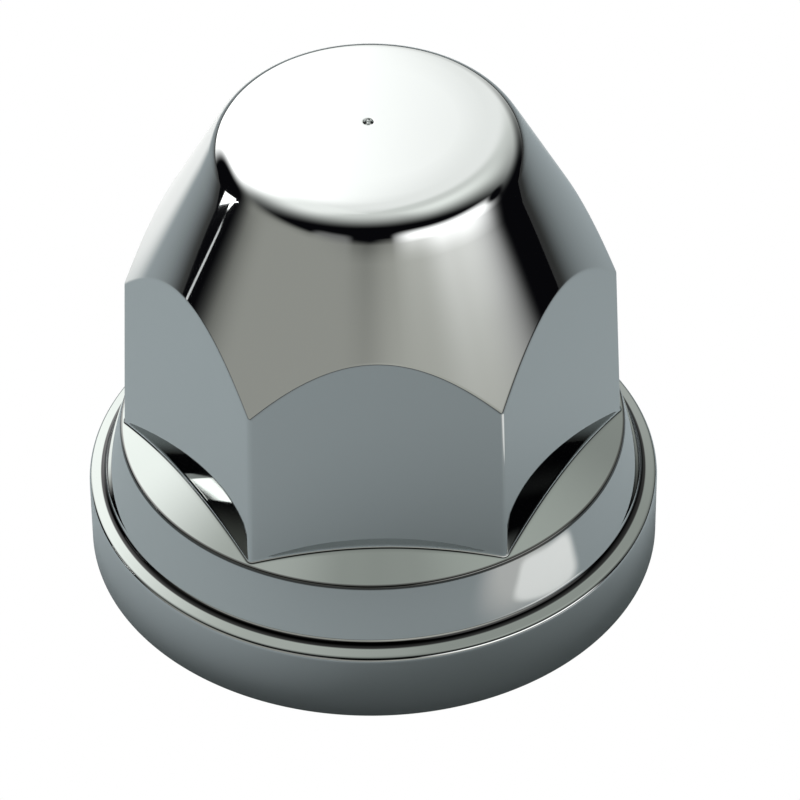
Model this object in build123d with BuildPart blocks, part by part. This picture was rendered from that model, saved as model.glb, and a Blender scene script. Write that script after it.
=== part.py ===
from build123d import *
from math import cos, radians, tan
import os

# Wheel nut cover cap: a push-on cap, moulded in one piece and chrome plated.
# A round flange carries a six-sided body that ends in a cone with a crowned top.
# Millimetres. Origin at the centre of the flange's lower face, +Z out of the cap's nose.
# The flats face +Y and -Y, and two corners of the hexagon lie on X.

# The nut that it goes on, and the fit on it
nut_across_flats = 33.0
socket_clearance = 0.35
rib_clearance = 0.05

# Walls: round the flange, in the body's flats, and over the cone and the top
flange_wall = 1.9
body_wall = 2.15
hood_wall = 1.9

# Flange, from the body out and down: a sloping shelf, a steep band, a sloping ledge and an upright rim
shelf_margin = 0.27
shelf_slope = 26.0
band_height = 5.25
band_slope = 16.4
ledge_width = 1.45
ledge_slope = 18.0
rim_height = 6.7

# Body: flats with draft, a cone over them and a slightly crowned top
flat_draft = 2.0
cone_half_angle = 28.0
top_radius = 12.35
top_height = 44.9
crown_rise = 0.3

# Inside: the socket's draft, and ribs that grip the nut, two on each flat
socket_draft = 0.5
rib_width = 1.4
rib_spacing = 11.0
rib_height = 11.0
rib_lead_in = 1.5
rib_start = 1.0

# Gate mark, a small round pit in the middle of the top
pit_radius = 0.45
pit_depth = 0.5

# Edges: rounded on the body and the top, and broken by a small bevel on the flange
body_edge = 0.6
top_edge = 3.6
rim_bevel = 0.35
shelf_bevel = 0.3
mouth_bevel = 0.2

# Sizes that follow from those, from the nut outwards
rib_face = nut_across_flats / 2 + rib_clearance
socket_apothem = nut_across_flats / 2 + socket_clearance
body_apothem = socket_apothem + body_wall
shelf_radius = body_apothem / cos(radians(30)) + shelf_margin
band_foot_radius = shelf_radius + band_height * tan(radians(band_slope))
rim_radius = band_foot_radius + ledge_width
shelf_height = rim_height + ledge_width * tan(radians(ledge_slope)) + band_height
nose_height = top_height + crown_rise
crown_radius = (top_radius**2 + crown_rise**2) / (2 * crown_rise)


def slope_height(start, run, slope, wall):
    """Height on a slope that starts at a height and rises over a run, or a wall below it."""
    angle = radians(slope)
    return start + run * tan(angle) - wall / cos(angle)


def ledge_at(radius, wall):
    """Height of the sloping ledge at a radius, or of the face a wall below it."""
    return slope_height(rim_height, rim_radius - radius, ledge_slope, wall)


def shelf_at(radius, wall):
    """The same for the sloping shelf, carried on under the body."""
    return slope_height(shelf_height, shelf_radius - radius, shelf_slope, wall)


def flange_outline(wall):
    """Corners of the flange's half section, from the axis out and up, wall inside the outer form."""
    rim, foot, top = rim_radius - wall, band_foot_radius - wall, shelf_radius - wall
    return [
        (0, 0),
        (rim, 0),
        (rim, ledge_at(rim, wall)),
        (foot, ledge_at(foot, wall)),
        (top, shelf_at(top, wall)),
        (socket_apothem, shelf_at(socket_apothem, wall)),
        (0, shelf_at(socket_apothem, wall)),
    ]


def hooded_hexagon(apothem, draft, foot, wall):
    """Six-sided body under the cone, from foot up, wall inside the outer form."""
    # The cone's edge moves in along the line that halves the angle between cone and top.
    edge = top_radius - wall * tan(radians(45 - cone_half_angle / 2))
    apex = nose_height - wall
    slant = tan(radians(cone_half_angle))
    foot_radius = edge + (top_height - wall - foot) * slant
    foot_apothem = apothem + (shelf_height - foot) * tan(radians(draft))
    with BuildPart() as body:
        with BuildSketch(Plane.XY.offset(foot)):
            RegularPolygon(foot_apothem, 6, major_radius=False)
        extrude(amount=nose_height - foot, taper=draft)
        with BuildSketch(Plane.YZ):
            with BuildLine():
                Polyline(
                    (0, foot), (foot_radius, foot), (edge - crown_rise * slant, apex), (0, apex), close=True
                )
            make_face()
        revolve(axis=Axis.Z, mode=Mode.INTERSECT)
        # The crown is a piece of a large ball, whose poles lie to the sides, clear of it.
        with Locations((0, 0, apex - crown_radius)):
            Sphere(crown_radius, rotation=(90, 0, 0), mode=Mode.INTERSECT)
    return body.part


# Outer form of the body: the top's edge is rounded, then the uprights and the arcs under the cone
with BuildPart() as hood:
    add(hooded_hexagon(body_apothem, flat_draft, rim_height, 0))
    fillet(hood.faces().sort_by(Axis.Z)[-1].edges(), top_edge)
    uprights = hood.edges().filter_by(lambda edge: abs(edge.tangent_at(0.5).Z) > 0.95)
    arcs = hood.edges().filter_by(GeomType.HYPERBOLA)
    fillet(uprights + arcs, body_edge)

# The hollow that the nut goes into, up to the inside of the crowned top
with BuildPart() as socket:
    add(hooded_hexagon(socket_apothem, socket_draft, 0, hood_wall))

# The hollow under the flange, open below
with BuildPart() as mouth:
    with BuildSketch(Plane.XZ):
        with BuildLine():
            Polyline(*flange_outline(flange_wall), close=True)
        make_face()
    revolve(axis=Axis.Z)

# Two ribs that grip one flat of the nut, each with a slope that leads the nut in
with BuildPart() as rib_pair:
    rib_foot = mouth.part.bounding_box().max.Z + rib_start
    rib_root = socket_apothem + body_wall / 2
    for side in (-1, 1):
        with BuildSketch(Plane.YZ.offset(side * rib_spacing / 2)):
            with BuildLine():
                Polyline(
                    (rib_root, rib_foot),
                    (socket_apothem, rib_foot),
                    (rib_face, rib_foot + rib_lead_in),
                    (rib_face, rib_foot + rib_height),
                    (rib_root, rib_foot + rib_height),
                    close=True,
                )
            make_face()
        extrude(amount=rib_width / 2, both=True)

with BuildPart() as nut_cover:
    # Flange, turned from its half section
    with BuildSketch(Plane.XZ) as flange:
        with BuildLine():
            Polyline(*flange_outline(0), close=True)
        make_face()
        chamfer(flange.vertices().sort_by_distance((rim_radius, rim_height))[0], rim_bevel)
        chamfer(flange.vertices().sort_by_distance((shelf_radius, shelf_height))[0], shelf_bevel)
    revolve(axis=Axis.Z)

    # Body on the flange, then the one hollow through both
    add(hood.part)
    add(mouth.part, mode=Mode.SUBTRACT)
    add(socket.part, mode=Mode.SUBTRACT)
    with PolarLocations(0, 6):
        add(rib_pair.part)

    # Lower edges of the rim, and the gate mark
    chamfer(nut_cover.faces().sort_by(Axis.Z)[0].edges(), mouth_bevel)
    with Locations((0, 0, nose_height)):
        Cylinder(pit_radius, 2 * pit_depth, mode=Mode.SUBTRACT)

nut_cover.part.label = "nut_cover"
os.makedirs("parts", exist_ok=True)
export_step(nut_cover.part, "parts/nut_cover.step")

size = nut_cover.part.bounding_box().size
print("cap", [round(side, 2) for side in size], "volume", round(nut_cover.part.volume))
print("hexagon", round(2 * body_apothem, 2), "rim", round(2 * rim_radius, 2), "nose", round(nose_height, 2))
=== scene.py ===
# %% [markdown]
# # A wheel nut cover cap in bright chrome
# The real cap is moulded in one piece from plastic, and then plated. It is pushed over a
# wheel nut from below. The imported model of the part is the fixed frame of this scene: it
# gives the cap's place and its overall size, and the pieces made here ride on it.

# %% Load the frame
from math import atan, atan2, cos, degrees, pi, radians, sin, sqrt, tan

import bpy
import bmesh
from mathutils import Matrix, Vector


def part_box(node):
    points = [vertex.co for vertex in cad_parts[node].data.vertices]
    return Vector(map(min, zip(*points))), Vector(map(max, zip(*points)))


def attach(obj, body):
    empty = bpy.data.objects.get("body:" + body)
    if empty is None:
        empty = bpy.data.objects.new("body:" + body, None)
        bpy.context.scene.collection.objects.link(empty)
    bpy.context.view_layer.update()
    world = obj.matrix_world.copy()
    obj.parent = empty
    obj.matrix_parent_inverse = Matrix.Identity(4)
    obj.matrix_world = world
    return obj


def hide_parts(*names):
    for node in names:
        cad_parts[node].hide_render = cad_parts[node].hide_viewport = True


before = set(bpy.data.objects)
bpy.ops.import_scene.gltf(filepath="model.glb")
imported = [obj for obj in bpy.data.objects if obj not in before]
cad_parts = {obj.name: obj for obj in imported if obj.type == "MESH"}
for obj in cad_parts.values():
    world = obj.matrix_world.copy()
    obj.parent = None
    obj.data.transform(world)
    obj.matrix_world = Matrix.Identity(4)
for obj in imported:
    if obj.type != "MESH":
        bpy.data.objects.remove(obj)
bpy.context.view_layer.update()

# %% [markdown]
# ## Sizes
# A mirror shows every flaw of the form behind it, so the shell is made again here with
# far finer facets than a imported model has, from the sizes that a drawing of the cap would
# give. The cap is made in millimetres and radians, and its finished mesh is scaled to
# metres once. The flange's radius and the height come from the frame.

# %% Sizes of the cap
MM = 0.001
node_low, node_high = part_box("nut_cover")
rim_radius = min(node_high.x, node_high.y) / MM
nose_height = node_high.z / MM

flange_wall = 1.9
hood_wall = 1.9
body_wall = 2.15
body_apothem = 19.0
socket_apothem = body_apothem - body_wall

ledge_width = 1.45
ledge_slope = radians(18)
rim_height = 6.7
band_height = 5.25
band_slope = radians(16.4)
shelf_slope = radians(26)
band_foot_radius = rim_radius - ledge_width
shelf_radius = band_foot_radius - band_height * tan(band_slope)
shelf_height = rim_height + ledge_width * tan(ledge_slope) + band_height

flat_draft = radians(2)
socket_draft = radians(0.5)
cone_angle = radians(28)
crown_rise = 0.3
top_radius = 12.35
top_height = nose_height - crown_rise
crown_radius = (top_radius**2 + crown_rise**2) / (2 * crown_rise)

print("flange radius", round(rim_radius, 2), "shelf radius", round(shelf_radius, 2))

# %% Radii of the edges
rim_edge = 0.5
mouth_edge = 0.2
ledge_root = 0.9
shelf_edge = 0.3
body_edge = 0.6
body_root = 0.3
top_edge = 3.6
top_ease_to_cone = (radians(1.6), 70)
top_ease_to_crown = (radians(4), 40)
inner_edge = 0.4
pit_radius = 0.45
pit_depth = 0.5

# %% [markdown]
# ## Arithmetic on fields
# In Geometry Nodes a field is a number with a value of its own at every point of a mesh.
# Its sums are Math nodes, and a formula of twenty nodes is hard to read in a script. This
# small class holds a socket and makes the Math nodes when Python adds or multiplies, so
# that the formulas below read like formulas. A point is a plain tuple of three fields.

# %% A field that Python can calculate with
class Field:
    """A socket whose value varies over the mesh. Arithmetic on it adds Math nodes to its tree."""

    def __init__(self, tree, socket):
        self.tree = tree
        self.socket = socket

    def math(self, operation, *others):
        node = self.tree.nodes.new("ShaderNodeMath")
        node.operation = operation
        for slot, value in zip(node.inputs, (self, *others)):
            if isinstance(value, Field):
                self.tree.links.new(value.socket, slot)
            else:
                slot.default_value = value
        return Field(self.tree, node.outputs[0])

    def __add__(self, other):
        return self.math("ADD", other)

    def __sub__(self, other):
        return self.math("SUBTRACT", other)

    def __mul__(self, other):
        return self.math("MULTIPLY", other)

    def __truediv__(self, other):
        return self.math("DIVIDE", other)

    def __rsub__(self, other):
        return self.math("MULTIPLY_ADD", -1.0, other)

    def __rtruediv__(self, other):
        return self.math("POWER", -1.0) * other

    __radd__ = __add__
    __rmul__ = __mul__


# %% Points as three fields
def add_scaled(point, direction, distance):
    """The point moved along a direction by a distance."""
    return tuple(p + d * distance for p, d in zip(point, direction))


def mix(start, end, share):
    """From start to end, for numbers and for points."""
    if isinstance(start, tuple):
        return tuple(mix(s, e, share) for s, e in zip(start, end))
    return (end - start) * share + start


def length(x, y):
    return (x * x + y * y).math("SQRT")


def unit(direction):
    """The same direction, one unit long."""
    x, y, z = direction
    size = (x * x + y * y + z * z).math("SQRT")
    return x / size, y / size, z / size


def round_axis(radius, azimuth, height):
    """A point given by its distance from the axis, its angle round it and its height."""
    return radius * azimuth.math("COSINE"), radius * azimuth.math("SINE"), height


# %% [markdown]
# ## One sixth of the cap
# The cap repeats six times round its axis, so only one sixth is made: one flat with half a
# corner on each side. It could be one mesh with a Bevel, but a bevel only comes near the
# edge of a real moulding, and chrome shows the difference. Here each rounded edge is
# the path of a ball: the ball's centre runs where the two faces meet when both are moved
# in by its radius, and the surface is that centre plus a radius times a direction that
# swings from one face's normal to the other's.
#
# A mesh strip is a Grid. Its columns cross the flat and turn through half of each corner,
# and its rows run from the flange to the nose. All strips have the same columns, so that
# their borders meet point for point and are welded at the end.

# %% Columns of a strip
flat_steps = 40
corner_steps = 4
columns = flat_steps + 2 * corner_steps
corner_share = 2 * corner_steps / flat_steps
half_sixth = radians(30)
print("columns round the cap:", 6 * columns)


# %% Helpers for node trees
def link(tree, start, end):
    tree.links.new(start, end)


def new_tree(name, sizes, kind="GeometryNodeTree", mesh=None):
    """A node group whose inputs are a mesh, if named, and sizes. Returns it and its sizes as fields."""
    tree = bpy.data.node_groups.new(name, kind)
    if mesh:
        tree.interface.new_socket(mesh, in_out="INPUT", socket_type="NodeSocketGeometry")
    for label, default in sizes.items():
        socket = tree.interface.new_socket(label, in_out="INPUT", socket_type="NodeSocketFloat")
        socket.default_value = default
    source = tree.nodes.new("NodeGroupInput")
    fields = {label: Field(tree, source.outputs[label]) for label in sizes}
    return tree, fields


def grid_strip(tree, rows):
    """A flat grid, one row of points more than rows. Returns its mesh socket."""
    grid = tree.nodes.new("GeometryNodeMeshGrid")
    grid.inputs["Size X"].default_value = 2 + 2 * corner_share
    grid.inputs["Size Y"].default_value = 1
    grid.inputs["Vertices X"].default_value = columns + 1
    if isinstance(rows, Field):
        link(tree, (rows + 1).socket, grid.inputs["Vertices Y"])
    else:
        grid.inputs["Vertices Y"].default_value = rows + 1
    return grid.outputs["Mesh"]


def place(tree, mesh, point):
    """Moves every point of the mesh to where the three fields say. Returns the mesh socket."""
    vector = tree.nodes.new("ShaderNodeCombineXYZ")
    for slot, field in zip(vector.inputs, point):
        if isinstance(field, Field):
            link(tree, field.socket, slot)
        else:
            slot.default_value = field
    move = tree.nodes.new("GeometryNodeSetPosition")
    link(tree, mesh, move.inputs["Geometry"])
    link(tree, vector.outputs[0], move.inputs["Position"])
    return move.outputs["Geometry"]


def join(tree, meshes):
    """All the meshes as one."""
    node = tree.nodes.new("GeometryNodeJoinGeometry")
    for mesh in meshes:
        link(tree, mesh, node.inputs[0])
    return node.outputs[0]


def column_and_row(tree):
    """Place on a strip's grid: across the sixth, and from 0 at the first row to 1 at the last."""
    position = tree.nodes.new("GeometryNodeInputPosition")
    parts = tree.nodes.new("ShaderNodeSeparateXYZ")
    link(tree, position.outputs[0], parts.inputs[0])
    return Field(tree, parts.outputs["X"]), Field(tree, parts.outputs["Y"]) + 0.5


# %% [markdown]
# ## The hooded hexagon
# The body is a six-sided prism with a little draft, so that it leaves its mould, under a
# cone. Where the cone meets a flat it leaves an arc. The prism stands on a shelf that
# slopes out and down. The hollow inside is the same form, a wall further in, so one group
# makes both from different sizes.

# %% The group for one sixth of a hooded hexagon
hexagon_sizes = {
    "Apothem": body_apothem,
    "Draft": flat_draft,
    "Shelf Height": shelf_height,
    "Shelf Radius": shelf_radius,
    "Shelf Slope": shelf_slope,
    "Shelf End": shelf_radius,
    "Cone Radius": top_radius,
    "Cone Height": top_height,
    "Cone Angle": cone_angle,
    "Cone End": top_radius,
    "Edge Radius": body_edge,
    "Root Radius": body_root,
}
hexagon_tree, size = new_tree("hooded_hexagon_sixth", hexagon_sizes)
column, row = column_and_row(hexagon_tree)
edge, root = size["Edge Radius"], size["Root Radius"]
apothem, draft, cone = size["Apothem"], size["Draft"], size["Cone Angle"]
slope = size["Shelf Slope"]

# %% Directions: across the flat, round the corner, and over the cone
across = column.math("MINIMUM", 1.0).math("MAXIMUM", -1.0)
corner_turn = (column.math("ABSOLUTE") - 1.0).math("MAXIMUM", 0.0) / corner_share
to_side = across * tan(half_sixth)
to_front = 1.0 / length(to_side, across * 0.0 + 1.0)
even_azimuth = column * (half_sixth / (1 + corner_share))
flat_azimuth = to_side.math("ARCTANGENT")

# In the middle of a corner the side looks 30 degrees aside, along (3/4, sqrt(3)/4).
side_normal = unit((
    draft.math("COSINE") * (1.0 - corner_turn * 0.25),
    draft.math("COSINE") * corner_turn * across * (sqrt(3) / 4),
    draft.math("SINE"),
))
cone_normal = round_axis(cone.math("COSINE"), flat_azimuth, cone.math("SINE"))

# %% The path of the ball where a flat meets the cone
flat_reach = apothem + size["Shelf Height"] * draft.math("TANGENT") - edge / draft.math("COSINE")
cone_reach = (
    size["Cone Radius"]
    + size["Cone Height"] * cone.math("TANGENT")
    - edge / cone.math("COSINE")
)


def on_flat(height):
    """Point of the ball's path on the flat's side at a height."""
    out = flat_reach - height * draft.math("TANGENT")
    return out, out * to_side, height


arc_height = (cone_reach * to_front - flat_reach) / (
    cone.math("TANGENT") * to_front - draft.math("TANGENT")
)
arc_path = on_flat(arc_height)

# %% The path of the ball in the root, where the flat meets the shelf
# The height depends a little on itself through the draft, so it is worked out twice.
ball_height = size["Shelf Height"]
for _ in range(2):
    start = on_flat(ball_height)
    reach = length(start[0] + side_normal[0] * (edge + root), start[1] + side_normal[1] * (edge + root))
    shelf_here = size["Shelf Height"] + (size["Shelf Radius"] - reach) * slope.math("TANGENT")
    ball_height = shelf_here + root / slope.math("COSINE") - side_normal[2] * (edge + root)

side_foot = add_scaled(on_flat(ball_height), side_normal, edge)
root_path = add_scaled(side_foot, side_normal, root)
root_azimuth = root_path[1].math("ARCTAN2", root_path[0])
shelf_normal = round_axis(slope.math("SINE"), root_azimuth, slope.math("COSINE"))
shelf_start = add_scaled(root_path, shelf_normal, root * -1.0)

# %% Five strips from the shelf to the top of the cone
eased_row = row * row * (3.0 - row * 2.0)


def on_shelf(share):
    """From the shelf's outer end in to the root."""
    radius = mix(size["Shelf End"], length(shelf_start[0], shelf_start[1]), share)
    azimuth = mix(even_azimuth, root_azimuth, share)
    return round_axis(
        radius, azimuth, size["Shelf Height"] + (size["Shelf Radius"] - radius) * slope.math("TANGENT")
    )


def on_cone(share):
    """From the arc over the flat up to the cone's end."""
    arc_radius = length(arc_path[0], arc_path[1]) + edge * cone.math("COSINE")
    radius = mix(arc_radius, size["Cone End"], share)
    azimuth = mix(flat_azimuth, even_azimuth, share)
    return round_axis(
        radius, azimuth, size["Cone Height"] + (size["Cone Radius"] - radius) / cone.math("TANGENT")
    )


strips = (
    # rows of the strip, and where its points go
    (5, on_shelf(eased_row)),
    (4, add_scaled(root_path, unit(mix(shelf_normal, side_normal, row)), root * -1.0)),
    (16, mix(side_foot, add_scaled(arc_path, side_normal, edge), eased_row)),
    (8, add_scaled(arc_path, unit(mix(side_normal, cone_normal, row)), edge)),
    (16, on_cone(eased_row)),
)
hexagon_tree.interface.new_socket("Sixth", in_out="OUTPUT", socket_type="NodeSocketGeometry")
sixth = join(hexagon_tree, [place(hexagon_tree, grid_strip(hexagon_tree, rows), p) for rows, p in strips])
link(hexagon_tree, sixth, hexagon_tree.nodes.new("NodeGroupOutput").inputs["Sixth"])
print("hooded hexagon:", len(hexagon_tree.nodes), "nodes")

# %% [markdown]
# ## Turned stretches
# The flange, the pocket under it and the crowned top are turned forms: one half section,
# carried round the axis. The half section is drawn here as a row of points with real arcs
# at its corners. Close to both ends of each arc there is one point more, because a
# smooth-shaded mirror bends its reflection between two rows of points, and the narrow
# row keeps that bend beside the arc.
#
# On the polished moulding the edge of the top isn't a plain arc: it runs out slowly into
# its neighbours, and the photograph shows this as soft ends of the reflections beside the
# black arc. Such an arc has an ease, a last bit of its turn that is made on a larger
# radius. An ease is given as an angle and that radius.

# %% Draw the half sections
guard = 0.08
arc_step = radians(9)


def arc_points(centre, radius, start, end):
    """Points on an arc, both ends included. Angles are measured from straight out."""
    count = max(4, round(abs(end - start) / arc_step))
    angles = [start + (end - start) * i / count for i in range(count + 1)]
    return [(centre[0] + radius * cos(a), centre[1] + radius * sin(a)) for a in angles]


def eased_inset(radius, ease):
    """How far the centre of an eased arc lies from the line that its eased end runs out into."""
    turn, wide = ease
    return radius + (wide - radius) * (1 - cos(turn))


def eased_arc(centre, radius, start, end, first=(0, 1), last=(0, 1)):
    """Points on an arc with an ease at its first end, at its last end, or at both."""
    way = 1 if end > start else -1
    first_joint, last_joint = start + way * first[0], end - way * last[0]

    def ease(wide, joint, *limits):
        shift = radius - wide
        return arc_points((centre[0] + shift * cos(joint), centre[1] + shift * sin(joint)), wide, *limits)

    points = arc_points(centre, radius, first_joint, last_joint)
    if first[0]:
        points = ease(first[1], first_joint, start, first_joint) + points[1:]
    if last[0]:
        points += ease(last[1], last_joint, last_joint, end)[1:]
    return points


def rounded_corner(before, corner, after, radius):
    """Points of the arc that rounds the corner between two straight lines, in its own plane."""
    here = Vector(corner)
    back, on = (Vector(before) - here).normalized(), (Vector(after) - here).normalized()
    opening = back.angle(on)
    centre = here + (back + on) * radius / sin(opening)
    first = here + back * (centre - here).dot(back) - centre
    start = atan2(first.y, first.x)
    turn = (pi - opening) * (1 if back.cross(on) < 0 else -1)
    return arc_points(centre, radius, start, start + turn)


def rounded_line(corners):
    """Points of a line of (radius, height, rounding) corners, with a guard point beside each arc."""
    runs = [[corners[0][:2]]]
    for before, corner, after in zip(corners, corners[1:], corners[2:]):
        runs.append(rounded_corner(before[:2], corner[:2], after[:2], corner[2]))
    runs.append([corners[-1][:2]])
    points = list(runs[0])
    for run, following in zip(runs, runs[1:]):
        start, end = Vector(run[-1]), Vector(following[0])
        step = (end - start).normalized() * guard
        if (end - start).length > 3 * guard:
            points += [tuple(start + step), tuple(end - step)]
        points += following
    return points


# %% The flange outside, from the mouth's inner edge round to the shelf
pocket_radius = rim_radius - flange_wall
shelf_lip = 0.16
shelf_end = shelf_radius - shelf_lip


def ledge_at(radius, wall=0):
    """Height of the sloping ledge at a radius, or of the face a wall below it."""
    return rim_height + (rim_radius - radius) * tan(ledge_slope) - wall / cos(ledge_slope)


def shelf_at(radius, wall=0):
    """The same for the sloping shelf."""
    return shelf_height + (shelf_radius - radius) * tan(shelf_slope) - wall / cos(shelf_slope)


flange_section = rounded_line([
    (pocket_radius + mouth_edge, 0, 0),
    (rim_radius, 0, mouth_edge),
    (rim_radius, rim_height, rim_edge),
    (band_foot_radius, ledge_at(band_foot_radius), ledge_root),
    (shelf_radius, shelf_height, shelf_edge),
    (shelf_end, shelf_at(shelf_end), 0),
])

# %% The pocket under the flange, from the mouth up to the sloping ceiling
pocket_foot_radius = band_foot_radius - flange_wall
pocket_inner_radius = shelf_radius - flange_wall
socket_shelf_height = shelf_at(shelf_radius, flange_wall)
ceiling_end = pocket_inner_radius - 2 * mouth_edge
pocket_section = rounded_line([
    (pocket_radius + mouth_edge, 0, 0),
    (pocket_radius, mouth_edge, mouth_edge),
    (pocket_radius, ledge_at(pocket_radius, flange_wall), mouth_edge),
    (pocket_foot_radius, ledge_at(pocket_foot_radius, flange_wall), mouth_edge),
    (pocket_inner_radius, shelf_at(pocket_inner_radius, flange_wall), mouth_edge),
    (ceiling_end, shelf_at(ceiling_end, flange_wall), 0),
])
print("half sections:", len(flange_section), "and", len(pocket_section), "points")


# %% The crowned top, from the cone over its rounded edge to the axis
def crown_section(cone_radius, cone_height, apex, rounding, to_cone=(0, 1), to_crown=(0, 1)):
    """Points from the cone's end over the rounded edge, and on along the crown, with its two eases."""
    low = apex - crown_radius
    slant = tan(cone_angle)
    reach = cone_radius + (cone_height - low) * slant - eased_inset(rounding, to_cone) / cos(cone_angle)
    crown_turn, crown_wide = to_crown
    along = crown_radius - crown_wide + (crown_wide - rounding) * cos(crown_turn)
    aside = (crown_wide - rounding) * sin(crown_turn)
    rise = (reach * slant + sqrt((along**2 + aside**2) * (1 + slant**2) - reach**2)) / (1 + slant**2)
    centre = (reach - rise * slant, low + rise)
    crown_start = atan2(rise, centre[0]) + atan2(aside, along)
    edge = eased_arc(centre, rounding, cone_angle, crown_start, to_cone, to_crown)
    crown_steps = 14
    crown = [crown_start + (pi / 2 - crown_start) * i / crown_steps for i in range(crown_steps)]
    first_step = crown[0] + guard / crown_radius
    crown_arc = [(crown_radius * cos(a), low + crown_radius * sin(a)) for a in [first_step] + crown[1:]]
    return edge + crown_arc


def crown_height(radius):
    """Height of the crown at a radius."""
    return nose_height - crown_radius + sqrt(crown_radius**2 - radius**2)


outer_crown = crown_section(
    top_radius, top_height, nose_height, top_edge, top_ease_to_cone, top_ease_to_crown
)
outer_crown = [point for point in outer_crown if point[0] > 2 * pit_radius]
pit_lip = 0.12
pit_floor_radius = 0.8 * pit_radius
pit_section = rounded_line([
    (2 * pit_radius, crown_height(2 * pit_radius), 0),
    (pit_radius, crown_height(pit_radius), pit_lip),
    (pit_floor_radius, crown_height(0) - pit_depth, pit_lip),
    (0, crown_height(0) - pit_depth, 0),
])
outer_crown += pit_section

inner_top_radius = top_radius - hood_wall * tan(pi / 4 - cone_angle / 2)
inner_top_height = top_height - hood_wall
inner_nose_height = inner_top_height + crown_rise
inner_crown = crown_section(inner_top_radius, inner_top_height, inner_nose_height, 2 * inner_edge)
inner_crown += [(0, inner_nose_height)]
print("crown sections:", len(outer_crown), "and", len(inner_crown), "points")

# %% All four half sections in one helper mesh
sections = {
    "flange": flange_section,
    "crown": outer_crown,
    "pocket": pocket_section,
    "inner_crown": inner_crown,
}
first_point = {}
section_points = []
for name, points in sections.items():
    first_point[name] = len(section_points)
    section_points += [(radius, 0, height) for radius, height in points]
section_mesh = bpy.data.meshes.new("half_sections")
section_mesh.from_pydata(section_points, [], [])

# %% The group that turns a stretch of the half section
lathe_tree, lathe_size = new_tree("turned_sixth", {"First Point": 0, "Points": 2}, mesh="Half Section")
lathe_tree.interface.new_socket("Sixth", in_out="OUTPUT", socket_type="NodeSocketGeometry")
column, row = column_and_row(lathe_tree)
sample = lathe_tree.nodes.new("GeometryNodeSampleIndex")
sample.data_type = "FLOAT_VECTOR"
source = next(node for node in lathe_tree.nodes if node.type == "GROUP_INPUT")
here = lathe_tree.nodes.new("GeometryNodeInputPosition")
link(lathe_tree, source.outputs["Half Section"], sample.inputs["Geometry"])
link(lathe_tree, here.outputs[0], sample.inputs["Value"])
index = (row * (lathe_size["Points"] - 1.0)).math("ROUND") + lathe_size["First Point"]
link(lathe_tree, index.socket, sample.inputs["Index"])
parts = lathe_tree.nodes.new("ShaderNodeSeparateXYZ")
link(lathe_tree, sample.outputs[0], parts.inputs[0])
azimuth = column * (half_sixth / (1 + corner_share))
turned = round_axis(Field(lathe_tree, parts.outputs["X"]), azimuth, Field(lathe_tree, parts.outputs["Z"]))
strip = place(lathe_tree, grid_strip(lathe_tree, lathe_size["Points"] - 1.0), turned)
link(lathe_tree, strip, lathe_tree.nodes.new("NodeGroupOutput").inputs["Sixth"])
print("turned stretch:", len(lathe_tree.nodes), "nodes")

# %% [markdown]
# ## Grip ribs
# A cap like this is held on its nut by small upright ribs in the socket, two on each flat.
# One rib is drawn as a blank, with a slope at its foot that leads the nut in, and the tree
# puts a pair of them on the flat before the sixth is repeated.

# %% The blank of one rib
rib_width = 1.4
rib_spacing = 11.0
rib_height = 11.0
rib_lead_in = 1.5
rib_start = 1.0
nut_across_flats = 33.0
rib_clearance = 0.05
rib_face = nut_across_flats / 2 + rib_clearance
rib_foot = shelf_at(socket_apothem, flange_wall) + rib_start
rib_root = socket_apothem + body_wall / 2
rib_outline = [
    (rib_root, rib_foot),
    (socket_apothem, rib_foot),
    (rib_face, rib_foot + rib_lead_in),
    (rib_face, rib_foot + rib_height),
    (rib_root, rib_foot + rib_height),
]
rib_mesh = bmesh.new()
near = [rib_mesh.verts.new((x, -rib_width / 2, z)) for x, z in rib_outline]
far = [rib_mesh.verts.new((x, rib_width / 2, z)) for x, z in rib_outline]
rib_mesh.faces.new(near)
rib_mesh.faces.new(far[::-1])
for i in range(len(rib_outline)):
    j = (i + 1) % len(rib_outline)
    rib_mesh.faces.new((near[j], near[i], far[i], far[j]))
bmesh.ops.recalc_face_normals(rib_mesh, faces=rib_mesh.faces)
rib_blank = bpy.data.objects.new("rib_blank", bpy.data.meshes.new("rib_blank"))
rib_mesh.to_mesh(rib_blank.data)
rib_mesh.free()
bpy.context.scene.collection.objects.link(rib_blank)
print("rib blank:", len(rib_blank.data.polygons), "faces")

# %% [markdown]
# ## The whole cap in one tree
# The main tree takes the half sections as its mesh and the rib blank as an object. It
# makes one sixth, outside and inside, turns the inside's faces round to look at the
# hollow, repeats the sixth six times and welds the borders.


# %% Helpers for the main tree
def use_group(tree, group, values, half_section=None):
    """Places a node group in the tree with its own values. Returns its Sixth socket."""
    node = tree.nodes.new("GeometryNodeGroup")
    node.node_tree = group
    for label, value in values.items():
        if isinstance(value, Field):
            link(tree, value.socket, node.inputs[label])
        else:
            node.inputs[label].default_value = value
    if half_section is not None:
        link(tree, half_section, node.inputs["Half Section"])
    return node.outputs["Sixth"]


def one_input(tree, kind, mesh, **values):
    """Adds a node that takes one mesh, with its settings. Returns the mesh it gives."""
    node = tree.nodes.new(kind)
    link(tree, mesh, node.inputs[0])
    for label, value in values.items():
        node.inputs[label.replace("_", " ")].default_value = value
    return node.outputs[0]


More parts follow.
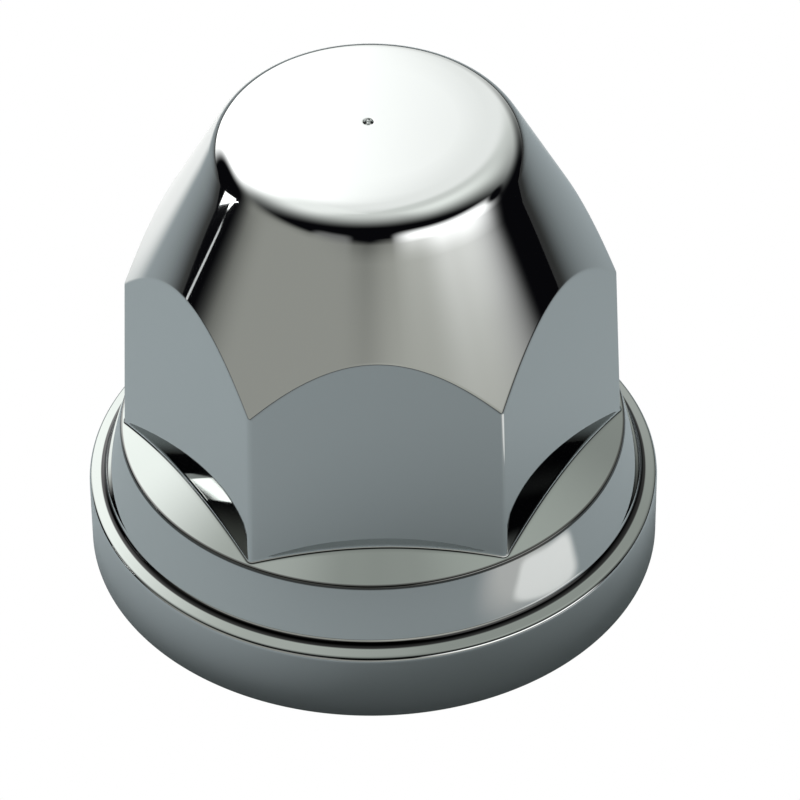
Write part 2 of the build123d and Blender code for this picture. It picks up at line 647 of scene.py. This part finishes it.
# %% The tree's interface: sizes, the rib and the two finishes
cap_sizes = {
    "Body Apothem": body_apothem,
    "Body Wall": body_wall,
    "Edge Radius": body_edge,
    "Root Radius": body_root,
    "Rib Spacing": rib_spacing,
}
cap_tree, cap = new_tree("nut_cover_cap", cap_sizes, mesh="Half Sections")
for label, kind in (
    ("Rib", "NodeSocketObject"),
    ("Outside", "NodeSocketMaterial"),
    ("Inside", "NodeSocketMaterial"),
):
    cap_tree.interface.new_socket(label, in_out="INPUT", socket_type=kind)
cap_tree.interface.new_socket("Cap", in_out="OUTPUT", socket_type="NodeSocketGeometry")
cap_source = next(node for node in cap_tree.nodes if node.type == "GROUP_INPUT")

# %% One sixth, outside
half_sections = cap_source.outputs["Half Sections"]


def turned_stretch(name):
    """One of the half sections, turned through a sixth."""
    values = {"First Point": first_point[name], "Points": len(sections[name])}
    return use_group(cap_tree, lathe_tree, values, half_sections)


outer_hexagon = use_group(cap_tree, hexagon_tree, {
    "Apothem": cap["Body Apothem"],
    "Edge Radius": cap["Edge Radius"],
    "Root Radius": cap["Root Radius"],
    "Shelf End": shelf_end,
    "Cone End": outer_crown[0][0],
})
outside = join(cap_tree, [turned_stretch("flange"), outer_hexagon, turned_stretch("crown")])
outside = one_input(cap_tree, "GeometryNodeSetMaterial", outside)
link(cap_tree, cap_source.outputs["Outside"], outside.node.inputs["Material"])

# %% One sixth, inside, with its pair of ribs
inner_hexagon = use_group(cap_tree, hexagon_tree, {
    "Apothem": cap["Body Apothem"] - cap["Body Wall"],
    "Draft": socket_draft,
    "Shelf Height": socket_shelf_height,
    "Shelf End": ceiling_end,
    "Cone Radius": inner_top_radius,
    "Cone Height": inner_top_height,
    "Cone End": inner_crown[0][0],
    "Edge Radius": inner_edge,
    "Root Radius": mouth_edge,
})
inside = join(cap_tree, [turned_stretch("pocket"), inner_hexagon, turned_stretch("inner_crown")])
inside = one_input(cap_tree, "GeometryNodeFlipFaces", inside)

rib_source = cap_tree.nodes.new("GeometryNodeObjectInfo")
link(cap_tree, cap_source.outputs["Rib"], rib_source.inputs["Object"])
rib_pair = []
for side in (-0.5, 0.5):
    shift = cap_tree.nodes.new("ShaderNodeCombineXYZ")
    link(cap_tree, (cap["Rib Spacing"] * side).socket, shift.inputs["Y"])
    rib = one_input(cap_tree, "GeometryNodeTransform", rib_source.outputs["Geometry"])
    link(cap_tree, shift.outputs[0], rib.node.inputs["Translation"])
    rib_pair.append(rib)
inside = join(cap_tree, [inside] + rib_pair)
inside = one_input(cap_tree, "GeometryNodeSetMaterial", inside)
link(cap_tree, cap_source.outputs["Inside"], inside.node.inputs["Material"])

# %% Six sixths, welded and scaled to metres
weld_distance = 0.001
centres = cap_tree.nodes.new("GeometryNodePoints")
centres.inputs["Count"].default_value = 6
number = cap_tree.nodes.new("GeometryNodeInputIndex")
turn = cap_tree.nodes.new("ShaderNodeCombineXYZ")
sixths_turn = Field(cap_tree, number.outputs[0]) * (2 * half_sixth) + half_sixth
link(cap_tree, sixths_turn.socket, turn.inputs["Z"])
copies = cap_tree.nodes.new("GeometryNodeInstanceOnPoints")
link(cap_tree, centres.outputs[0], copies.inputs["Points"])
link(cap_tree, join(cap_tree, [outside, inside]), copies.inputs["Instance"])
link(cap_tree, turn.outputs[0], copies.inputs["Rotation"])

shell = one_input(cap_tree, "GeometryNodeRealizeInstances", copies.outputs[0])
shell = one_input(cap_tree, "GeometryNodeMergeByDistance", shell, Distance=weld_distance)
shell = one_input(cap_tree, "GeometryNodeTransform", shell, Scale=(MM, MM, MM))
shell = one_input(cap_tree, "GeometryNodeSetShadeSmooth", shell)
link(cap_tree, shell, cap_tree.nodes.new("NodeGroupOutput").inputs["Cap"])

# %% [markdown]
# ## Plating
# Bright chrome has almost no colour of its own: it shows its surroundings, a little darker
# and cooler than they are. What makes it look like plated plastic, and not like glass, is
# small: the moulded form under it is very slightly uneven, so that long reflections sway,
# and the polish is not equally bright all over. Both finishes need this, so it is a group.
# A wide noise gives the sway, a narrow one a fine grain, and the wide one also the polish.

# %% Helpers for shader trees
def coordinates(tree, kind):
    """X, Y and Z as fields, from one of the Texture Coordinate node's outputs."""
    place_node = tree.nodes.new("ShaderNodeTexCoord")
    parts = tree.nodes.new("ShaderNodeSeparateXYZ")
    link(tree, place_node.outputs[kind], parts.inputs[0])
    return tuple(Field(tree, parts.outputs[axis]) for axis in "XYZ")


def plain_colour(tree, colour):
    """A colour socket that the first layer is painted on."""
    node = tree.nodes.new("ShaderNodeRGB")
    node.outputs[0].default_value = (*colour, 1)
    return node.outputs[0]


def paint_over(tree, under, colour, mask):
    """A colour laid over a colour socket where the mask is 1. Returns the new colour socket."""
    blend = tree.nodes.new("ShaderNodeMix")
    blend.data_type = "RGBA"
    link(tree, mask, blend.inputs["Factor"])
    link(tree, under, blend.inputs["A"])
    blend.inputs["B"].default_value = (*colour, 1)
    return blend.outputs["Result"]


# %% The group for a moulded and plated surface
surface_tree, surface_size = new_tree("plated_surface", {
    "Sway Scale": 90.0, "Sway Height": 0.00001, "Fine Scale": 2500.0, "Fine Height": 0.0000002,
    "Polish": 0.03, "Polish Range": 0.02,
}, "ShaderNodeTree")
surface_place = surface_tree.nodes.new("ShaderNodeTexCoord")


def uneven(scale, height):
    """Noise of a scale, and a bump of a height made from it. Returns both nodes."""
    noise = surface_tree.nodes.new("ShaderNodeTexNoise")
    link(surface_tree, surface_place.outputs["Object"], noise.inputs["Vector"])
    link(surface_tree, surface_size[scale].socket, noise.inputs["Scale"])
    bump = surface_tree.nodes.new("ShaderNodeBump")
    link(surface_tree, noise.outputs["Fac"], bump.inputs["Height"])
    link(surface_tree, surface_size[height].socket, bump.inputs["Distance"])
    return noise, bump


sway, sway_bump = uneven("Sway Scale", "Sway Height")
sway.inputs["Detail"].default_value = 1.0
fine_bump = uneven("Fine Scale", "Fine Height")[1]
link(surface_tree, sway_bump.outputs[0], fine_bump.inputs["Normal"])

polish = surface_tree.nodes.new("ShaderNodeMapRange")
polish.inputs["From Min"].default_value = 0.35
polish.inputs["From Max"].default_value = 0.65
link(surface_tree, sway.outputs["Fac"], polish.inputs["Value"])
link(surface_tree, surface_size["Polish"].socket, polish.inputs["To Min"])
dullest = surface_size["Polish"] + surface_size["Polish Range"]
link(surface_tree, dullest.socket, polish.inputs["To Max"])

surface_tree.interface.new_socket("Roughness", in_out="OUTPUT", socket_type="NodeSocketFloat")
surface_tree.interface.new_socket("Normal", in_out="OUTPUT", socket_type="NodeSocketVector")
surface_result = surface_tree.nodes.new("NodeGroupOutput")
link(surface_tree, polish.outputs[0], surface_result.inputs["Roughness"])
link(surface_tree, fine_bump.outputs[0], surface_result.inputs["Normal"])
print("plated surface:", len(surface_tree.nodes), "nodes")


# %% The two finishes
def plated_material(name, colour, surface_values):
    """A metal with the plated surface group on its roughness and normal."""
    material = bpy.data.materials.new(name)
    material.use_nodes = True
    tree = material.node_tree
    shader = tree.nodes["Principled BSDF"]
    shader.inputs["Base Color"].default_value = (*colour, 1)
    shader.inputs["Metallic"].default_value = 1.0
    surface = tree.nodes.new("ShaderNodeGroup")
    surface.node_tree = surface_tree
    for label, value in surface_values.items():
        surface.inputs[label].default_value = value
    link(tree, surface.outputs["Roughness"], shader.inputs["Roughness"])
    link(tree, surface.outputs["Normal"], shader.inputs["Normal"])
    return material


bright_chrome = plated_material(
    "bright_chrome",
    (0.69, 0.705, 0.70),
    {"Sway Height": 0.000012, "Polish": 0.02, "Polish Range": 0.02, "Fine Height": 0.0},
)
dull_plating = plated_material(
    "dull_plating",
    (0.42, 0.43, 0.44),
    {"Sway Height": 0.00006, "Polish": 0.3, "Polish Range": 0.12, "Fine Height": 0.000004},
)
print("finishes:", bright_chrome.name, dull_plating.name)

# %% [markdown]
# ## Where the plating is thin
# Chrome that lies low and flat behind an edge, and in a corner, is painted darker here. In the photograph
# the shelf and the ledge mirror the same ceiling as the top, at less than half its brightness, the corner
# behind the ledge is black, and a dark line runs along the shelf's edge. This is painted shade in the
# chrome's colour: the shelf and the ledge are painted darker, the corner black, and the shelf's edge gets
# a painted dark line. A mask could be painted on the mesh. A group that finds a stretch of the half
# section from its two ends follows the sizes, so the chrome's colour is painted over with that.

# %% The group for a stretch with painted shade
stretch_tree, stretch = new_tree("painted_shade_mask", {
    "Start Radius": 0.02, "Start Height": 0.0, "End Radius": 0.03, "End Height": 0.0, "Reach": 0.0001
}, "ShaderNodeTree")
x, y, z = coordinates(stretch_tree, "Object")
out, up = length(x, y) - stretch["Start Radius"], z - stretch["Start Height"]
line_out = stretch["End Radius"] - stretch["Start Radius"]
line_up = stretch["End Height"] - stretch["Start Height"]
share = (out * line_out + up * line_up) / (line_out * line_out + line_up * line_up)
share = share.math("MAXIMUM", 0.0).math("MINIMUM", 1.0)
gap = length(out - line_out * share, up - line_up * share)
mask = (2.0 - gap / stretch["Reach"]).math("MAXIMUM", 0.0).math("MINIMUM", 1.0)
stretch_tree.interface.new_socket("Mask", in_out="OUTPUT", socket_type="NodeSocketFloat")
link(stretch_tree, mask.socket, stretch_tree.nodes.new("NodeGroupOutput").inputs["Mask"])

# %% Painted shade on the shelf and the ledge, at the shelf's edge and in the corner
# Painted shade colours: darker for the shelf and the ledge, a dark line at the shelf's edge, black in the
# corner.
recess_shade = (0.285, 0.305, 0.29)
edge_line_shade = (0.12, 0.12, 0.115)
corner_shade = (0.03, 0.03, 0.03)
shelf_foot = body_apothem - 1
corner_rise = ledge_at(band_foot_radius) + 0.15
shaded_stretches = (
    # colour, start and end as radius and height, reach to each side
    (recess_shade, (shelf_foot, shelf_at(shelf_foot)), (shelf_radius, shelf_height), 0.03),
    (edge_line_shade, (shelf_radius - 0.14, shelf_height), (shelf_radius + 0.05, shelf_height - 0.2), 0.06),
    (recess_shade, (band_foot_radius, ledge_at(band_foot_radius)), (rim_radius, rim_height), 0.05),
    (corner_shade, (band_foot_radius - 0.02, corner_rise), (band_foot_radius + 0.28, corner_rise - 0.28), 0.09),
)
tree = bright_chrome.node_tree
shader = tree.nodes["Principled BSDF"]
colour = plain_colour(tree, shader.inputs["Base Color"].default_value[:3])
# Each stretch paints its shade over the chrome's colour.
for shade_colour, start, end, reach in shaded_stretches:
    node = tree.nodes.new("ShaderNodeGroup")
    node.node_tree = stretch_tree
    for label, value in zip(("Start Radius", "Start Height", "End Radius", "End Height"), start + end):
        node.inputs[label].default_value = value * MM
    node.inputs["Reach"].default_value = reach * MM
    colour = paint_over(tree, colour, shade_colour, node.outputs["Mask"])
link(tree, colour, shader.inputs["Base Color"])
print("stretches with thin plating:", len(shaded_stretches))

# %% [markdown]
# ## Bake the cap
# The modifier's inputs are set by their identifiers. The evaluated object is then copied
# to a plain mesh, because that is what rides on the frame, and the blank, the half sections
# and the modifier are removed.


# %% Run the tree and keep its mesh
def set_input(modifier, tree, label, value):
    """Sets one of a Geometry Nodes modifier's inputs, found by its name in the tree."""
    sockets = [item for item in tree.interface.items_tree if item.item_type == "SOCKET"]
    socket = next(item for item in sockets if item.in_out == "INPUT" and item.name == label)
    modifier[socket.identifier] = value


drawing = bpy.data.objects.new("half_sections", section_mesh)
bpy.context.scene.collection.objects.link(drawing)
modifier = drawing.modifiers.new("nut_cover_cap", "NODES")
modifier.node_group = cap_tree
for label, value in cap_sizes.items():
    set_input(modifier, cap_tree, label, value)
set_input(modifier, cap_tree, "Rib", rib_blank)
set_input(modifier, cap_tree, "Outside", bright_chrome)
set_input(modifier, cap_tree, "Inside", dull_plating)

depsgraph = bpy.context.evaluated_depsgraph_get()
shell_mesh = bpy.data.meshes.new_from_object(drawing.evaluated_get(depsgraph), depsgraph=depsgraph)
shell_mesh.name = "nut_cover_shell"
cover = bpy.data.objects.new("nut_cover_shell", shell_mesh)
bpy.context.scene.collection.objects.link(cover)
drawing.modifiers.clear()
for helper in (drawing, rib_blank):
    bpy.data.objects.remove(helper)

triangles = sum(len(face.vertices) - 2 for face in shell_mesh.polygons)
print("cap:", len(shell_mesh.vertices), "points,", triangles, "triangles")

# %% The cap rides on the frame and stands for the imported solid
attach(cover, "root")
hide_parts("nut_cover")

# %% [markdown]
# ## Studio
# Chrome is lit by what it mirrors, so the studio is drawn as the cap sees it. Behind it is
# a large soft light, overhead a pale ceiling, in front a low grey wall with a white card on
# its right, and between wall and ceiling the dark room, which makes the black lines along
# the cap's edges. Dark screens stand on both sides.
#
# Every one of them is a patch with soft borders, so one group makes them all. Its shape
# goes from an ellipse, at a squareness of 2, to a rectangle with rounded corners. The
# places of the patches come from following the mirror's rays off the finished cap: where
# the photograph is light, the ray ends in a light patch.

# %% The soft patch group
patch_tree, patch = new_tree("soft_patch", {
    "Across": 0.0, "Up": 0.0, "Centre Across": 0.0, "Centre Up": 0.0,
    "Half Width": 10.0, "Half Height": 10.0, "Squareness": 2.0, "Softness": 0.5,
    "Slant": 0.0, "Period": 360.0,
}, "ShaderNodeTree")
half_period = patch["Period"] * 0.5
across_offset = (patch["Across"] - patch["Centre Across"]).math("WRAP", half_period, half_period * -1.0)
up_offset = patch["Up"] - patch["Centre Up"] - patch["Slant"] * across_offset
across_share = (across_offset.math("ABSOLUTE") / patch["Half Width"]).math("POWER", patch["Squareness"])
up_share = (up_offset.math("ABSOLUTE") / patch["Half Height"]).math("POWER", patch["Squareness"])
outward = (across_share + up_share).math("POWER", 1.0 / patch["Squareness"])
inward = ((1.0 - outward) / patch["Softness"] + 0.5).math("MAXIMUM", 0.0).math("MINIMUM", 1.0)
mask = inward * inward * (3.0 - inward * 2.0)
patch_tree.interface.new_socket("Mask", in_out="OUTPUT", socket_type="NodeSocketFloat")
link(patch_tree, mask.socket, patch_tree.nodes.new("NodeGroupOutput").inputs["Mask"])
print("soft patch:", len(patch_tree.nodes), "nodes")

# %% Helpers for the studio's shaders
patch_values = (
    "Centre Across", "Centre Up", "Half Width", "Half Height", "Squareness", "Softness", "Slant"
)


def paint_patches(tree, ground_colour, across, up, period, patches):
    """Lays soft patches of colour over a ground colour, in their order. Returns the colour socket."""
    colour = plain_colour(tree, ground_colour)
    for label, patch_colour, *values in patches:
        node = tree.nodes.new("ShaderNodeGroup")
        node.node_tree = patch_tree
        node.label = label
        link(tree, across.socket, node.inputs["Across"])
        link(tree, up.socket, node.inputs["Up"])
        node.inputs["Period"].default_value = period
        for slot, value in zip(patch_values, values):
            node.inputs[slot].default_value = value
        colour = paint_over(tree, colour, patch_colour, node.outputs["Mask"])
    return colour


def mix_shaders(tree, share, first, second):
    """The second shader by a share, and the first for the rest. Returns the shader socket."""
    node = tree.nodes.new("ShaderNodeMixShader")
    for slot, socket in zip(node.inputs, (share, first, second)):
        link(tree, socket, slot)
    return node.outputs[0]


def camera_white(tree, seen, white_kind):
    """Mixes a shader so that the camera's own rays meet white, and mirrors see the shader."""
    path = tree.nodes.new("ShaderNodeLightPath")
    white = tree.nodes.new(white_kind)
    white.inputs["Color"].default_value = (1, 1, 1, 1)
    return mix_shaders(tree, path.outputs["Is Camera Ray"], seen, white.outputs[0])


# %% The world's patches
ceiling = (0.82, 0.85, 0.82)
black = (0.003, 0.003, 0.004)
full_turn = 360
studio_patches = (
    # label, colour, then in degrees the centre's turn from the front, its rise, half the
    # width and half the height, and last squareness, softness and slant
    ("ceiling, right", (1.2, 1.25, 1.2), 83, 42, 41, 31, 2, 0.8, 0.05),
    ("ceiling, left", (1.17, 1.2, 1.17), -125, 60, 60, 27, 2, 0.8, 0),
    ("back wall, right", (1.1, 1.12, 1.1), 180, 37, 29, 43, 4, 0.65, 0),
    ("back light", (3, 3, 3), -140, 25, 32, 29, 3, 1.2, -0.05),
    ("dark room", black, 5, 2, 120, 68, 2, 0.6, 0),
    ("front haze", (0.2, 0.2, 0.2), -27, 16, 13, 15, 4, 0.6, 0),
    ("white card", (2, 2, 2), 54, 3, 35, 25, 4, 0.5, -0.2),
    ("card's end", black, 1, 31, 13, 20, 6, 0.35, 0),
    ("front wall", (0.37, 0.375, 0.345), 3, -2, 95, 20, 2, 0.55, -0.15),
    ("front wall, right", (0.5, 0.505, 0.465), 57, -4, 41, 16, 2, 0.55, -0.25),
    ("front wall, middle", (0.48, 0.485, 0.445), 21, 0, 21, 20, 3, 0.75, -0.05),
    ("dark screen, right", black, 93, -6, 63, 15, 2, 1, 0.1),
    ("dark screen's end", black, 94, 14, 8, 6, 2, 0.9, 0),
    ("dark screen, left", black, -112, 0, 22, 24, 3, 0.65, 0),
)

# %% The world
world = bpy.data.worlds.new("studio")
bpy.context.scene.world = world
world.use_nodes = True
tree = world.node_tree
look_x, look_y, look_z = coordinates(tree, "Generated")
turn_from_front = look_x.math("ARCTAN2", look_y * -1.0) * degrees(1)
rise = look_z.math("ARCSINE") * degrees(1)
seen = paint_patches(tree, ceiling, turn_from_front, rise, full_turn, studio_patches)
background = tree.nodes["Background"]
link(tree, seen, background.inputs["Color"])
world_shader = camera_white(tree, background.outputs[0], "ShaderNodeBackground")
link(tree, world_shader, tree.nodes["World Output"].inputs[0])
print("patches in the world:", len(studio_patches))

# %% [markdown]
# ## Sheet
# The cap stands on a pale sheet that fades into dark ground, with a painted pool of light behind on
# the left, painted shadow of the cap in front of it and round its foot, and a small card in front on the
# right. It could be plain, but the rim and the band mirror all of it, so the same patches are laid on it,
# here in millimetres. The camera sees it as white. It is clear from below and under the cap, and lies a
# hair lower than the cap's foot, so that a camera below sees the rim and the hollow.

# %% The sheet
sheet_radius = 0.5
sheet_gap = 0.01 * MM
dark_ground = (0.02, 0.02, 0.02)
no_period = 1e6
sheet_patches = (
    # label, colour, then in millimetres the centre's X and Y, half the width and half the
    # depth, and last squareness, softness and slant
    ("sheet", (0.33, 0.37, 0.39), -24, 24, 200, 175, 2, 2.2, 0),
    # The pool of light is painted into the sheet's colour.
    ("pool of light", (0.83, 0.83, 0.83), -33, 83, 50, 42, 2, 0.9, 0),
    ("soft card", (0.5, 0.5, 0.5), 53, -44, 17, 16, 2, 1, 0),
    ("card", (0.85, 0.85, 0.85), 47, -30, 7, 12, 5, 0.3, 0),
    # The next two patches are the cap's painted shadow: in front of it, and round its foot.
    ("front shade", (0.25, 0.28, 0.295), 8, -20, 23, 36, 2, 1.2, 0),
    ("foot", (0.16, 0.18, 0.19), -1, -6, 23, 22, 2, 0.6, 0),
)
ground = bmesh.new()
bmesh.ops.create_circle(ground, cap_ends=True, segments=96, radius=sheet_radius)
bmesh.ops.translate(ground, verts=ground.verts, vec=(0, 0, -sheet_gap))
floor = bpy.data.objects.new("floor", bpy.data.meshes.new("floor"))
ground.to_mesh(floor.data)
ground.free()
bpy.context.scene.collection.objects.link(floor)

# %% The sheet's material
floor_material = bpy.data.materials.new("pale_sheet")
floor_material.use_nodes = True
tree = floor_material.node_tree
shader = tree.nodes["Principled BSDF"]
shader.inputs["Roughness"].default_value = 0.8
shader.inputs["Specular IOR Level"].default_value = 0.1
x, y, z = coordinates(tree, "Object")
floor_x, floor_y = x / MM, y / MM
sheet_colour = paint_patches(tree, dark_ground, floor_x, floor_y, no_period, sheet_patches)
link(tree, sheet_colour, shader.inputs["Base Color"])
side = tree.nodes.new("ShaderNodeNewGeometry")
under_cap = length(floor_x, floor_y).math("LESS_THAN", rim_radius)
clear_share = Field(tree, side.outputs["Backfacing"]).math("MAXIMUM", under_cap)
clear = tree.nodes.new("ShaderNodeBsdfTransparent")
sheet_white = camera_white(tree, shader.outputs[0], "ShaderNodeEmission")
sheet_shader = mix_shaders(tree, clear_share.socket, sheet_white, clear.outputs[0])
link(tree, sheet_shader, tree.nodes["Material Output"].inputs[0])
floor.data.materials.append(floor_material)
print("patches on the sheet:", len(sheet_patches))

# %% [markdown]
# ## Narrow cards
# The photograph has a white spot with a thin streak on the left of the cone, and a white
# spot where the left flat meets the shelf. A patch in the world has no place, so every face
# that looks its way shows it. A card has one, so it shows in fewer of them. Three narrow
# cards on the left make the streak and the spots. The camera itself doesn't see them.

# %% The three cards
narrow_cards = (
    # name, place (x, y, z) in mm, length, width, lean in degrees, brightness
    ("upper_card", (-155, 29, 42.5), 34, 6.5, -29, 1.9),
    ("narrow_card", (-155, 20, 29), 3.5, 16, 0, 0.32),
    ("far_card", (-400, 54, 55.5), 50, 4.2, -44, 5),
)


def card_paint(name, brightness):
    """White that glows by itself, so that a card needs no lamp of its own."""
    material = bpy.data.materials.new(name)
    material.use_nodes = True
    shader = material.node_tree.nodes["Principled BSDF"]
    shader.inputs["Base Color"].default_value = (0.8, 0.8, 0.8, 1)
    shader.inputs["Emission Color"].default_value = (1, 1, 1, 1)
    shader.inputs["Emission Strength"].default_value = brightness
    return material


for card_name, card_place, long, wide, lean, brightness in narrow_cards:
    card_data = bpy.data.meshes.new(card_name)
    corners = [(0, side * long / 2, end * wide / 2) for side, end in ((-1, -1), (1, -1), (1, 1), (-1, 1))]
    card_data.from_pydata(corners, [], [(0, 1, 2, 3)])
    turned = Matrix.Rotation(radians(lean), 4, "X") @ Matrix.Scale(MM, 4)
    card_data.transform(Matrix.Translation(Vector(card_place) * MM) @ turned)
    card_data.materials.append(card_paint(card_name, brightness))
    card = bpy.data.objects.new(card_name, card_data)
    card.visible_camera = False
    bpy.context.scene.collection.objects.link(card)
print("narrow cards:", len(narrow_cards))

# %% [markdown]
# ## Lamp
# A soft lamp above and behind lights the sheet, all but the cap's shadow in front of it,
# and the rim mirrors both. Mirrors and the camera don't see the lamp. It is placed in metres.

# %% A soft lamp above and behind
lamp_place = Vector((-0.08, 0.3, 0.55))
lamp_aim = Vector((0, 0, 0.02))
lamp_data = bpy.data.lights.new("back_lamp", "AREA")
lamp_data.shape = "DISK"
lamp_data.size = 0.3
lamp_data.energy = 1.8
lamp = bpy.data.objects.new("back_lamp", lamp_data)
lamp.location = lamp_place
lamp.rotation_euler = (lamp_aim - lamp_place).to_track_quat("-Z", "Y").to_euler()
lamp.visible_glossy = False
lamp.visible_camera = False
bpy.context.scene.collection.objects.link(lamp)
print("lamp at", [round(v, 2) for v in lamp_place])

# %% [markdown]
# ## Camera
# The camera looks down at the cap from the front, with a long lens, as in the photograph.
# Its place, aim and roll were found by matching the corners of the hexagon and the
# circles of the flange. The aim is off the axis, so the whole camera is turned, which
# keeps its shift at zero for other views. Its distance and the aim's height are in metres.

# %% Set the camera
picture_width = 800
focal_pixels = 5304.9
distance = 0.4622
aim_height = 0.02079
elevation = radians(40.02)
roll = radians(0.81)
hexagon_turn = radians(0.79)
aim_pixel_x = -27.66
aim_pixel_y = 56.73

camera_data = bpy.data.cameras.new("camera")
camera_data.sensor_width = 36
camera_data.lens = focal_pixels / picture_width * camera_data.sensor_width
camera_data.clip_start = 0.01
camera_data.clip_end = 20
camera = bpy.data.objects.new("camera", camera_data)
bpy.context.scene.collection.objects.link(camera)
bpy.context.scene.camera = camera

around = Matrix.Rotation(-hexagon_turn, 3, "Z")
back = around @ Vector((0, -cos(elevation), sin(elevation)))
right = around @ Vector((1, 0, 0))
up = back.cross(right)
upright = Matrix((right, up, back))
yaw = atan(aim_pixel_x / focal_pixels)
pitch = atan(aim_pixel_y / focal_pixels)
tilted = Matrix.Rotation(roll, 3, "Z") @ Matrix.Rotation(pitch, 3, "X") @ Matrix.Rotation(-yaw, 3, "Y")
camera_turn = (tilted @ upright).transposed()
camera_place = Vector((0, 0, aim_height)) + back * distance
camera.matrix_world = Matrix.Translation(camera_place) @ camera_turn.to_4x4()
print("lens", round(camera_data.lens, 1), "mm, camera at", [round(v, 3) for v in camera_place])

# %% Colours as they are
bpy.context.scene.view_settings.view_transform = "Standard"
